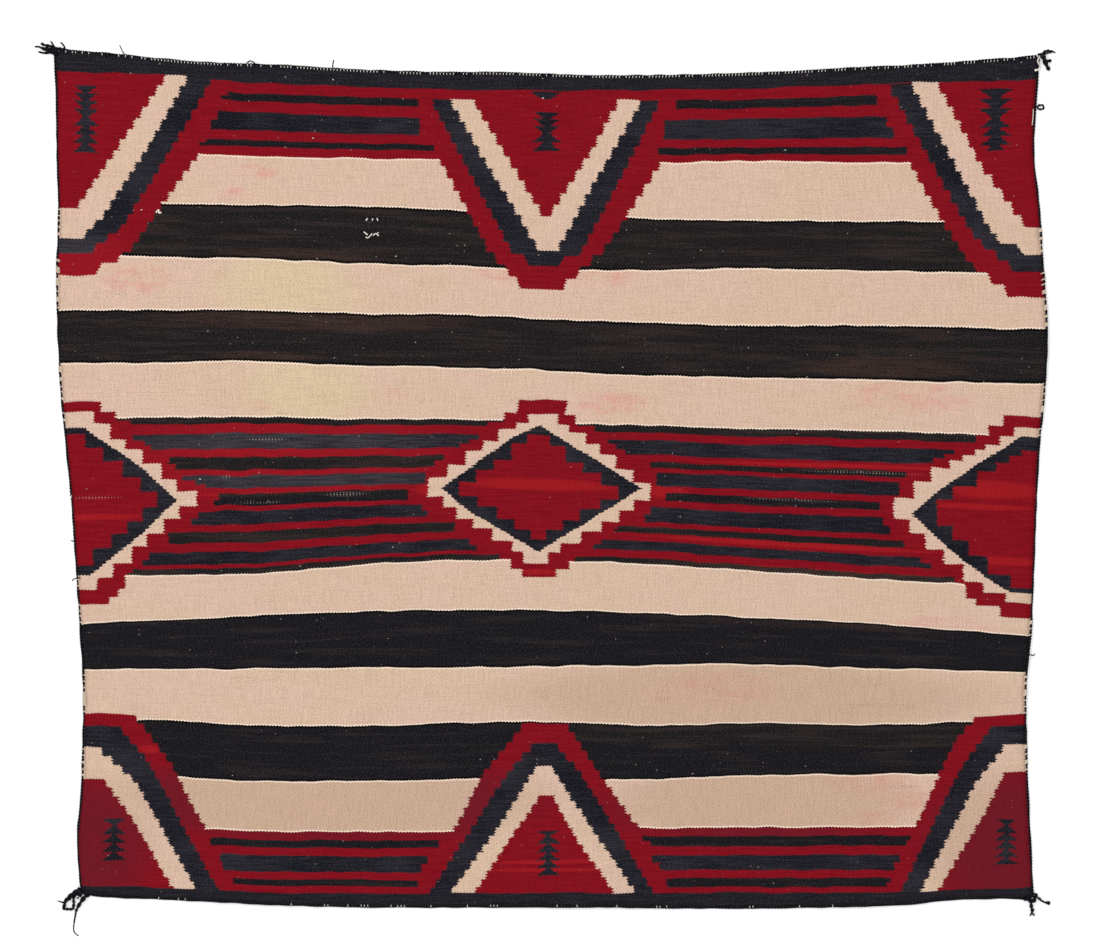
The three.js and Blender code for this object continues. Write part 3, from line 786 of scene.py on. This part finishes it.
def weave_design(across, weft, plan_x, row, highest, lowest):
    """The yarn's number, and how far each kind of mark reaches, between two rows of the web."""
    yarn = CREAM
    near = WEB_WIDTH / MM
    for upper, lower, new_yarn in BROAD_STRIPES:
        if ROW_VALUES[upper] > lowest and ROW_VALUES[lower] < highest:
            middle, half = row_span(ROW_VALUES[upper], ROW_VALUES[lower])
            yarn = swap(calc("COMPARE", weft, middle, half), yarn, new_yarn)
            off = calc("ABSOLUTE", calc("SUBTRACT", weft, middle))
            off = calc("ABSOLUTE", calc("SUBTRACT", off, half))
            near = calc("MINIMUM", near, off)
    # Near a broad stripe's edge the yarn's number is raised a little: this calls for a painted highlight line
    # on cream and a painted shade line on dark yarn.
    near_painted_edge = calc("LESS_THAN", near, calc("MULTIPLY_ADD", yarn, PAINTED_EDGE_DARK_GROWTH, PAINTED_EDGE_DEPTH))
    yarn = calc("MULTIPLY_ADD", near_painted_edge, PAINTED_EDGE_LINE, yarn)
    for group, stripes in THIN_STRIPES.items():
        top = ROW_VALUES[group]
        depth = top - ROW_VALUES[group + 1]
        if not lowest < top - depth / 2 < highest:
            continue
        for new_yarn, start, end, left, right in stripes:
            yarn = use_group(
                block_group, across=across, row=weft, yarn=yarn, left=left, right=right,
                top=top - depth * start, bottom=top - depth * end, new_yarn=new_yarn,
            )["yarn"]
    for new_yarn, top, bottom, steps, knee, left, right in TERRACES:
        if not lowest < (top + bottom) / 2 < highest:
            continue
        middles = [(a + b) / 2 for a, b in zip(left, right)]
        halves = [(b - a) / 2 for a, b in zip(left, right)]
        changes = []
        for start, bend, end in (middles, halves):
            change = (bend - start) / knee
            changes.append((change, (end - bend) / (steps - 1 - knee) - change))
        probes = []
        for place in (0, -1):
            if left is OUT_LEFT:
                probes.append(right[place] - READ_INSIDE)
            elif right is OUT_RIGHT:
                probes.append(left[place] + READ_INSIDE)
            else:
                probes.append(middles[place])
        top_row, bottom_row = row_at(probes[0], top), row_at(probes[1], bottom)
        per_mm = steps / (top_row - bottom_row)
        if bottom < BORDER_NEAR:
            bottom_row -= BORDER_OVERLAP
        at_row, half_depth = row_span(top_row, bottom_row)
        yarn = use_group(
            terrace_group, across=across, row=weft, yarn=yarn, at_row=at_row, half_depth=half_depth,
            steps_per_mm=per_mm, top_in_steps=top_row * per_mm, knee=knee, middle=middles[0], half=halves[0],
            middle_change=changes[0][0], half_change=changes[1][0], middle_bend=changes[0][1],
            half_bend=changes[1][1], new_yarn=new_yarn,
        )["yarn"]
    for middle, top, bottom, bars, turned, stem, reach in FEATHERS:
        if lowest < top < highest:
            top_row, bottom_row = row_at(middle, top), row_at(middle, bottom)
            at_row, half_depth = row_span(top_row, bottom_row)
            yarn = use_group(
                feather_group, across=across, row=weft, yarn=yarn, middle=middle, top=top_row,
                at_row=at_row, half_depth=half_depth, bars_per_mm=bars / (top_row - bottom_row),
                turned=turned, stem=stem, reach=reach, new_yarn=INDIGO,
            )["yarn"]
    if lowest < 0 < highest:
        for diamond in DIAMONDS:
            if isinstance(diamond[-1], list):
                yarn = stepped_diamond(across, weft, yarn, *diamond)
            else:
                yarn = plain_diamond(across, weft, yarn, *diamond)
    if highest > ROW_VALUES[1]:
        for side in CAP:
            yarn = plain_diamond(across, weft, yarn, *side)
        yarn = swap(calc("GREATER_THAN", weft, ROW_VALUES[1]), yarn, BORDER)
    if lowest < ROW_VALUES[14]:
        yarn = swap(calc("LESS_THAN", weft, ROW_VALUES[14]), yarn, BORDER)
    reached = []
    for table in (PINK_STAINS, BRIGHT_PICKS, WORN_ROWS, AGED_PARTS, YELLOWED_PARTS, FADED_PARTS):
        mark = 0.0
        for middle, height, reach, reach_down in table:
            at_row = row_at(middle, height)
            if lowest - reach_down < at_row < highest + reach_down:
                patch = use_group(
                    patch_group, across=plan_x, row=row, middle=middle, at_row=at_row,
                    reach=reach, reach_down=reach_down,
                )["patch"]
                mark = calc("MAXIMUM", patch, mark)
        reached.append(mark)
    return yarn, reached


def stepped_diamond(across, weft, yarn, new_yarn, middle_top, middle_bottom, top, levels):
    """Weaves a diamond over the yarn: each level is (its lower edge, its half width), in mm."""
    bottom = levels[-1][0]
    probe = min(max((middle_top + middle_bottom) / 2, -WELL_INSIDE), WELL_INSIDE)
    lean = (middle_bottom - middle_top) / (top - bottom)
    middle = calc("MULTIPLY_ADD", weft, -lean, middle_top + lean * top)
    half = levels[0][1]
    for (edge, half_here), (_, half_below) in zip(levels, levels[1:]):
        below = calc("LESS_THAN", weft, row_at(probe, edge))
        half = calc("MULTIPLY_ADD", below, half_below - half_here, half)
    in_width = calc("COMPARE", across, middle, half)
    in_depth = calc("COMPARE", weft, *row_span(row_at(probe, top), row_at(probe, bottom)))
    return swap(calc("MULTIPLY", in_width, in_depth), yarn, new_yarn)


def plain_diamond(across, weft, yarn, new_yarn, middle, tip, knee, upper, low_knee, lower):
    """Weaves one side of a diamond over the yarn, from its middle to its tip. Its upper and lower edges run
    from the tip through the knees to upper and lower, each (x, y) in mm, and on from there level."""
    off = calc("ABSOLUTE", calc("SUBTRACT", across, middle))
    limits = []
    for bend, end, narrower in ((knee, upper, "MINIMUM"), (low_knee, lower, "MAXIMUM")):
        limit = row_at(*end)
        for start, stop in ((tip, bend), (bend, end)):
            start_off, stop_off = abs(start[0] - middle), abs(stop[0] - middle)
            slope = (row_at(*stop) - row_at(*start)) / (stop_off - start_off)
            side = calc("MULTIPLY_ADD", off, slope, row_at(*start) - slope * start_off)
            limit = calc(narrower, side, limit)
        limits.append(limit)
    below = calc("LESS_THAN", weft, limits[0])
    above = calc("GREATER_THAN", weft, limits[1])
    on_side = calc("LESS_THAN" if tip[0] < middle else "GREATER_THAN", across, middle)
    mask = calc("MULTIPLY", on_side, calc("MULTIPLY", below, above))
    return swap(mask, yarn, new_yarn)


# The web's finish is made in three parts, each with the motifs that its own rows hold. They meet
# inside two plain dark stripes, where nothing shows.
PARTS = [("upper", 900, 250), ("middle", 250, -262), ("lower", -262, -900)]
for part, highest, lowest in PARTS:
    made = bpy.data.materials.new("tapestry wool " + part)
    made.use_nodes = True
    tree = made.node_tree
    finish = tree.nodes["Principled BSDF"]
    place = tree.nodes.new("ShaderNodeTexCoord")
    split = tree.nodes.new("ShaderNodeSeparateXYZ")
    feed(split.inputs[0], place.outputs["Object"])
    cloth_parts = uv_parts(tree, "cloth")
    plan_x = calc("MULTIPLY_ADD", split.outputs[0], METRE, -METRE * SHIFT_X)
    warp = calc("MULTIPLY", cloth_parts[0], METRE)
    row = calc("MULTIPLY", cloth_parts[1], METRE)
    toothed = use_group(edge_group, plan_x=plan_x, warp=warp, row=row)
    yarn, reached = weave_design(toothed["across"], toothed["weft"], plan_x, row, highest, lowest)
    wool = use_group(wool_group, warp=warp, row=row, yarn=yarn, **dict(zip(MARKS, reached)))
    dress(finish, wool["colour"], wool["roughness"], 0.03, wool["height"], 0.6, 0.0008)
    web.data.materials.append(made)
cloth_rows = web.data.uv_layers["cloth"].data
for face in web.data.polygons:
    face_row = sum(cloth_rows[loop].uv[1] for loop in face.loop_indices) / face.loop_total / MM
    face.material_index = 0 if face_row > PARTS[1][1] else 1 if face_row > PARTS[2][1] else 2
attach(web, "root")
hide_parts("web")

# Edge cords: two thick plies of dark wool twisted together, laid along each edge of the loom's warp
# and caught by the weaving. Each is 4 mm through, thicker and thinner in places, and lies outside the
# web's edge, which is pressed a little way under it.
CORD_DIAMETER = 4.0
CORD_TURN = 11.6
SEAM_GAP = 0.3
ON_FLOOR = 0.05
PLY_OFFSET = 0.47
PLY_THICKNESS = 0.55
UP = Vector((0, 0, 1))


def add_yarn(parts, path, diameters, turn=0.0, sides=6, hint=UP):
    """Adds a yarn along a path of points in mm to parts, as two twisted plies or, with no turn, as one."""
    points, faces, yarn_map = parts
    plies = 2 if turn else 1
    for ply in range(plies):
        start = len(points)
        along = 0.0
        lengths = []
        for index, here in enumerate(path):
            here = Vector(here)
            before = Vector(path[max(index - 1, 0)])
            after = Vector(path[min(index + 1, len(path) - 1)])
            run = (after - before).normalized()
            across_run = run.cross(hint).normalized()
            upwards = across_run.cross(run)
            if index:
                along += (here - before).length
            lengths.append(along)
            radius = diameters[index] * 0.5
            middle = here
            if plies == 2:
                angle = 2 * math.pi * (along / turn + ply / 2)
                away = across_run * math.cos(angle) + upwards * math.sin(angle)
                middle = here + away * radius * PLY_OFFSET
                radius *= PLY_THICKNESS
            for side in range(sides):
                angle = 2 * math.pi * side / sides
                away = across_run * math.cos(angle) + upwards * math.sin(angle)
                points.append(middle + away * radius)
        for ring in range(len(path) - 1):
            for side in range(sides):
                a = start + ring * sides + side
                b = start + ring * sides + (side + 1) % sides
                faces.append((a, b, b + sides, a + sides))
                low, high = lengths[ring] * MM, lengths[ring + 1] * MM
                this, that = side / sides, (side + 1) / sides
                yarn_map.append(((low, this), (low, that), (high, that), (high, this)))
        last = start + (len(path) - 1) * sides
        faces.append(tuple(start + side for side in reversed(range(sides))))
        faces.append(tuple(last + side for side in range(sides)))
        for end in (lengths[0], lengths[-1]):
            yarn_map.append(tuple((end * MM, side / sides) for side in range(sides)))


def yarn_piece(name, parts, finish, slot_name, *nodes):
    """One piece from the yarns gathered in parts, riding on the rug."""
    points, faces, yarn_map = parts
    piece = mesh_object(name, points, faces)
    layer = piece.data.uv_layers.new(name="yarn")
    for face, corners in zip(piece.data.polygons, yarn_map):
        for loop, corner in zip(face.loop_indices, corners):
            layer.data[loop].uv = corner
    piece.data.materials.append(finish)
    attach(piece, "root")
    if nodes:
        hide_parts(*nodes)
    return piece


def spun_wool(name, dark, light):
    """A plied yarn's finish: fibres that run round the ply, lighter where they catch and rough all over."""
    made = bpy.data.materials.new(name)
    made.use_nodes = True
    tree = made.node_tree
    finish = tree.nodes["Principled BSDF"]
    length, turned = uv_parts(tree, "yarn")[:2]
    along = calc("MULTIPLY", length, METRE)
    round_ply = calc("MULTIPLY_ADD", along, 0.35, calc("MULTIPLY", turned, 6.0))
    fibre = wool_noise(calc("DIVIDE", along, 5.0), calc("MULTIPLY", round_ply, 1.6), 3.0, 0.65)
    lengthwise = wool_noise(calc("DIVIDE", along, 26.0), 3.1, 2.0)
    colour = blend_colour(spread(fibre, 0.34, 0.7), dark, light)
    colour = blend_colour(spread(lengthwise, 0.4, 0.8, 0.0, 0.5), colour, dark)
    dress(finish, colour, spread(fibre, 0.2, 0.8, 0.97, 0.78), 0.06, fibre, 0.8, 0.0004)
    return made


cord_wool = spun_wool("dark cord wool", shade(12, 12, 16), shade(34, 34, 40))
warp_wool = spun_wool("cream warp wool", shade(198, 178, 158), shade(232, 216, 198))
pale_wool = spun_wool("bleached wool", shade(226, 216, 204), shade(255, 250, 244))


def cord_path(places, outside):
    """The cord's own line beside an edge. outside is 1 where it lies left of the way the edge runs."""
    edge = smooth_path(places, CORD_TURN / 12)
    path = []
    diameters = []
    for index, (x, y) in enumerate(edge):
        before = edge[max(index - 1, 0)]
        after = edge[min(index + 1, len(edge) - 1)]
        length = math.dist(before, after)
        run_x = (after[0] - before[0]) / length
        run_y = (after[1] - before[1]) / length
        diameter = CORD_DIAMETER * (1.08 + 0.34 * noise.noise(Vector((x / 24, y / 24, 1.3))))
        offset = outside * (SEAM_GAP + diameter / 2)
        x -= run_y * offset
        y += run_x * offset
        path.append((x, y, lift_at(x, y) + diameter / 2 + ON_FLOOR))
        diameters.append(diameter)
    return path[1:-1], diameters[1:-1]


EDGES = {
    "end_cord_top": (TOP_EDGE, 1), "end_cord_bottom": (BOTTOM_EDGE, -1),
    "side_cord_left": (LEFT_EDGE, 1), "side_cord_right": (RIGHT_EDGE, -1),
}
for name, (places, outside) in EDGES.items():
    parts = ([], [], [])
    path, diameters = cord_path(places, outside)
    add_yarn(parts, path, diameters, CORD_TURN)
    yarn_piece("plied_" + name, parts, cord_wool, "edge_cord", name)

# Warp loops: the cream warp turns round each end cord, 5.8 mm apart, and shows as a row of dots
# where the first rows of weft haven't covered it.
draw = random.Random(7)
for name, places, outside, least, most in (
    ("top", TOP_EDGE, 1, 0.3, 0.95), ("bottom", BOTTOM_EDGE, -1, 0.02, 0.2),
):
    parts = ([], [], [])
    edge = smooth_path(places, WARP_SPACING)
    bare = 0.5
    for before, here, after in zip(edge, edge[1:], edge[2:]):
        bare = min(most, max(least, bare + draw.uniform(-0.2, 0.2)))
        if draw.random() > bare:
            continue
        length = math.dist(before, after)
        run = Vector(((after[0] - before[0]) / length, (after[1] - before[1]) / length, 0))
        out = Vector((-run.y, run.x, 0)) * outside
        foot = Vector((here[0], here[1], lift_at(*here) + 0.3))
        reach = draw.uniform(-0.3, 0.7)
        arc = []
        for off, level in ((-1.0, 2.3), (-0.1, 3.3), (0.8, 4.0), (1.7 + reach, 4.25), (2.6 + reach, 3.6)):
            arc.append(foot + out * off + Vector((0, 0, level)))
        add_yarn(parts, arc, [0.8, 1.15, 1.25, 1.15, 0.8], 0.0, 4, run)
    yarn_piece("warp_loops_" + name, parts, pale_wool, "tapestry_wool")

# Weft turns: beside each cream stripe the cream weft turns round the side cord every few rows, so
# the dark cord shows as dashes. Heights are where the stripes meet the edge, in mm.
CREAM_AT_LEFT = [
    (488, 440), (407, 312), (217, 153), (133, 116), (-157, -175), (-203, -238), (-317, -393), (-453, -505),
]
CREAM_AT_RIGHT = [(455, 411), (378, 280), (182, 131), (109, 91), (-222, -259), (-322, -395), (-448, -494)]
TURN_SPACING = 2.2
TURNS_TOGETHER = 0.55
for name, places, outside, stretches in (
    ("left", LEFT_EDGE, 1, CREAM_AT_LEFT), ("right", RIGHT_EDGE, -1, CREAM_AT_RIGHT),
):
    parts = ([], [], [])
    edge = smooth_path(places, TURN_SPACING)
    for top, bottom in stretches:
        next_turn = bottom + 2.0
        for before, here, after in zip(edge, edge[1:], edge[2:]):
            if not bottom < here[1] < top or here[1] < next_turn:
                continue
            next_turn = here[1] + (1.8 if draw.random() < TURNS_TOGETHER else draw.uniform(8, 11))
            run = Vector((after[0] - before[0], after[1] - before[1], 0)).normalized()
            out = Vector((-run.y, run.x, 0)) * outside
            foot = Vector((here[0], here[1], lift_at(*here)))
            arc = []
            for off, level in ((-2.6, 2.3), (-1.2, 3.6), (0.8, 4.4), (2.6, 4.5), (4.2, 3.4), (4.7, 1.8)):
                arc.append(foot + out * off + Vector((0, 0, level)) + run * off * 0.35)
            add_yarn(parts, arc, [1.4, 2.0, 2.1, 2.1, 1.9, 1.3], 0.0, 5, run)
    yarn_piece("weft_turns_" + name, parts, warp_wool, "tapestry_wool")

# Knotted ends: at each corner the two cords are tied in a hard knot, and their plies run on as loose
# strands that fray at the tips.
CORNERS = {
    "tassel_top_left": ((-855, 764.5), (-4.5, 4.8), [
        (8.0, 5.4, [(-850, 763), (-860, 767.5), (-870, 768.5), (-879, 769)]),
        (6.4, 4.0, [(-852, 768), (-862, 773), (-871, 775), (-879, 777)]),
        (6.4, 3.0, [(-852, 759), (-861, 762.5), (-870, 762.5), (-879, 762)]),
        (3.6, 2.8, [(-868, 770), (-880, 771), (-885, 773), (-892, 773)]),
        (3.6, 3.0, [(-862, 764), (-873, 761.5), (-885, 764)]),
        (3.0, 2.4, [(-858, 771), (-860, 777), (-864, 782.5)]),
        (3.0, 2.6, [(-838, 764), (-840, 772), (-843, 777.5), (-846.5, 780)]),
        (4.6, 3.0, [(-861, 769), (-849, 770), (-839, 768), (-828, 765)]),
    ], [(-879, 778, 2.8), (-856, 769, 4.4), (-867, 767, 5.0)]),
    "tassel_top_right": ((862, 754), (4.5, 4.6), [
        (4.4, 3.2, [(871, 760), (876, 765), (883, 766), (893, 763)]),
        (3.6, 3.0, [(871, 757), (878, 761.5), (886, 763)]),
        (6.0, 4.2, [(871, 757), (874, 751), (878, 748.5), (884, 748)]),
        (8.6, 6.0, [(872, 756), (874.5, 749), (878, 741), (882, 733)]),
    ], [(884, 748.5, 3.4), (881.5, 734, 3.8), (876, 747, 4.2)]),
    "tassel_bottom_left": ((-808, -706.5), (-4.6, -4.8), [
        (7.4, 4.8, [(-812, -700), (-818, -704), (-828, -711), (-836, -719), (-839.5, -727), (-841.5, -735)]),
        (6.0, 4.4, [(-808, -705), (-818, -710), (-828, -715), (-834, -721)]),
        (4.4, 4.4, [(-841.5, -735.5), (-833, -736), (-825, -736)]),
        (4.8, 4.4, [(-825, -736), (-823.5, -726), (-824, -717), (-820, -711)]),
        (2.8, 2.0, [(-838, -724), (-843.5, -724), (-851, -722)]),
        (8.4, 4.2, [(-799, -710), (-807, -718), (-814.5, -729), (-819.5, -739)]),
        (3.4, 2.4, [(-819.5, -739), (-821.5, -750), (-823.5, -762)]),
        (2.2, 1.9, [(-823.5, -762), (-824, -773), (-820.5, -779), (-815.5, -782.5)]),
    ], [(-816.5, -716.5, 2.0), (-841, -735, 3.0)]),
    "tassel_bottom_right": ((852, -716), (4.4, -4.6), [
        (3.4, 3.2, [(858, -709), (864.5, -717), (873, -723), (883, -725.5)]),
        (7.6, 5.2, [(840, -717), (847, -719), (851, -723), (851.5, -733)]),
        (6.0, 4.4, [(860, -708), (857.5, -716), (853.5, -724)]),
        (5.0, 4.4, [(851.5, -731), (853, -738), (853, -744)]),
        (3.0, 2.6, [(852.5, -742), (849.5, -747.5)]),
        (3.0, 2.6, [(853, -742), (857.5, -747)]),
    ], [(865.5, -717.5, 3.0), (881, -725, 4.2), (854, -737, 3.4)]),
}
STRAND_FLUFF = 1.22
STRAND_TWIST = 2.9
KNOT_STEPS = 48


def add_knot(parts, middle_x, middle_y, half_x, half_y, half_z, thick):
    """A yarn that is wound over itself three times into a tight round knot."""
    path = []
    for step in range(KNOT_STEPS + 1):
        t = 2 * math.pi * step / KNOT_STEPS
        x = (math.sin(t) + 2 * math.sin(2 * t)) / 3
        y = (math.cos(t) - 2 * math.cos(2 * t)) / 3
        path.append((
            middle_x + x * (half_x - thick / 2), middle_y + y * (half_y - thick / 2),
            half_z - math.sin(3 * t) * (half_z - thick / 2),
        ))
    add_yarn(parts, path, [thick] * len(path), thick * STRAND_TWIST)


for name, (corner, knot, strands, beads) in CORNERS.items():
    parts = ([], [], [])
    add_knot(parts, corner[0] + knot[0], corner[1] + knot[1], 5.0, 4.4, 3.4, 3.3)
    for thick, tip, places in strands:
        path = []
        line = smooth_path(places, thick * 0.24)
        diameters = []
        for index, (x, y) in enumerate(line):
            diameter = STRAND_FLUFF * (thick + (tip - thick) * index / (len(line) - 1))
            diameters.append(diameter)
            path.append((x, y, lift_at(x, y) + diameter / 2 + ON_FLOOR))
        add_yarn(parts, path, diameters, thick * STRAND_TWIST)
        end = Vector(path[-1])
        run = (end - Vector(path[-4])).normalized()
        for _ in range(3):
            bend = Vector((draw.uniform(-0.7, 0.7), draw.uniform(-0.7, 0.7), 0))
            hair = [end - run * 1.5]
            for length in (0.5, 1.4, 2.5):
                spot = end + run * length + bend * length * (0.4 + 0.15 * length)
                spot.z = max(0.25, end.z - 0.3 * length)
                hair.append(spot)
            add_yarn(parts, hair, [0.5, 0.45, 0.35, 0.2], 0.0, 4)
    for x, y, radius in beads:
        add_knot(parts, x, y, radius * 1.1, radius, radius, radius)
    yarn_piece("knotted_" + name, parts, cord_wool, "corner_yarn", name)

# Loose ends: short lengths of yarn that have worked out of the edges, a cream warp end at the top
# right corner, and a darn in pale thread over a mended place in the topmost brown stripe.
DARK_THREADS = [
    (2.0, [(-743.5, 776), (-740, 768), (-734, 758)]),
    (2.6, [(-521, 744), (-514, 748), (-506, 743)]),
    (2.4, [(-368.5, 750), (-370, 745), (-371, 737)]),
    (4.0, [(856, 666), (862, 668.5), (867, 671), (872.5, 670), (872.5, 664.5), (866, 663.5), (862, 666)]),
    (2.2, [(-819, -90), (-824, -92), (-829, -91)]),
    (2.0, [(-827, -162), (-823, -158), (-812, -156)]),
    (2.4, [(848, -290), (855, -292), (858, -289)]),
]
PALE_THREADS = [
    (2.6, [(867.5, 759), (864, 752), (862.5, 747), (865.5, 741), (867, 736)]),
    (4.2, [(866.5, 738), (864, 733), (857.5, 731.5)]),
    (1.6, [(855, 664), (854.5, 650), (853, 636)]),
    (2.2, [(-827, -12), (-829, -17), (-828, -24)]),
    (2.6, [(-312, 468.4), (-309.8, 472.6)]),
    (2.4, [(-301, 468.6), (-300.6, 472.4)]),
    (2.4, [(-291.6, 468.4), (-293, 472.8)]),
    (2.6, [(-316.2, 449), (-309.4, 443.6)]),
    (2.2, [(-313, 440.2), (-309.4, 438.4), (-304.8, 442), (-301.6, 446.2)]),
    (2.4, [(-300, 442.4), (-295.4, 445.8), (-290, 442)]),
    (1.8, [(-293.2, 445.8), (-290, 447.8)]),
    (1.8, [(-261.4, 406.2), (-259, 406.4)]),
    (3.6, [(-679.5, 482.5), (-675, 487), (-674, 482.5), (-670, 483)]),
    (2.2, [(-706, 487), (-703.5, 488)]),
    (2.0, [(-371, 715), (-368.5, 715.5)]),
    (2.0, [(-406, 613), (-403.5, 613)]),
    (2.4, [(-4, 683), (-1.5, 683)]),
    (1.8, [(-604, 17), (-601, 16)]),
    (1.8, [(420, 592), (422.5, 592)]),
]
for name, threads, finish, slot_name in (
    ("loose_dark_ends", DARK_THREADS, cord_wool, "edge_cord"),
    ("loose_pale_ends", PALE_THREADS, pale_wool, "tapestry_wool"),
):
    parts = ([], [], [])
    for thick, places in threads:
        path = []
        for x, y in smooth_path(places, thick * 0.3):
            inside = min(
                x - value_on(left_line, y, 1), value_on(right_line, y, 1) - x,
                value_on(top_line, x) - y, y - value_on(bottom_line, x),
            )
            base = ON_FLOOR
            if inside > 0.5:
                base = WEB_THICKNESS + 0.5
            elif inside > -SEAM_GAP - CORD_DIAMETER:
                base = CORD_DIAMETER + 0.3
            path.append([x, y, lift_at(x, y) + base + thick / 2])
        for _ in range(3):
            for before, here, after in zip(path, path[1:], path[2:]):
                here[2] = (before[2] + here[2] + after[2]) / 3
        add_yarn(parts, path, [thick] * len(path), thick * 3.0)
    yarn_piece(name, parts, finish, slot_name)

# Floor and light: a pale studio floor lit a little from below, so that hardly a shadow shows on it, a
# soft even light all round, and one large lamp from the upper left that gives the yarns their relief.
bpy.ops.object.select_all(action="DESELECT")
bpy.ops.mesh.primitive_plane_add(size=14, location=(0, 0, -0.0004))
floor = bpy.context.object
floor.name = "floor"
floor_finish = bpy.data.materials.new("pale floor")
floor_finish.use_nodes = True
for label, value in (
    ("Base Color", (0.94, 0.94, 0.94, 1)), ("Roughness", 0.9),
    ("Emission Color", (1, 1, 1, 1)), ("Emission Strength", 0.2),
):
    floor_finish.node_tree.nodes["Principled BSDF"].inputs[label].default_value = value
floor.data.materials.append(floor_finish)
world = bpy.data.worlds.new("studio")
world.use_nodes = True
world.node_tree.nodes["Background"].inputs[0].default_value = (1, 1, 1, 1)
world.node_tree.nodes["Background"].inputs[1].default_value = 0.92
bpy.context.scene.world = world
lamp_data = bpy.data.lights.new("soft lamp", "AREA")
lamp_data.shape = "SQUARE"
lamp_data.size = 5.0
lamp_data.energy = 150
lamp = bpy.data.objects.new("soft lamp", lamp_data)
lamp.location = (-3.6, 2.6, 5.6)
lamp.rotation_euler = (Vector((0, 0, 0)) - Vector(lamp.location)).to_track_quat("-Z", "Y").to_euler()
bpy.context.scene.collection.objects.link(lamp)
bpy.context.scene.view_settings.view_transform = "Standard"
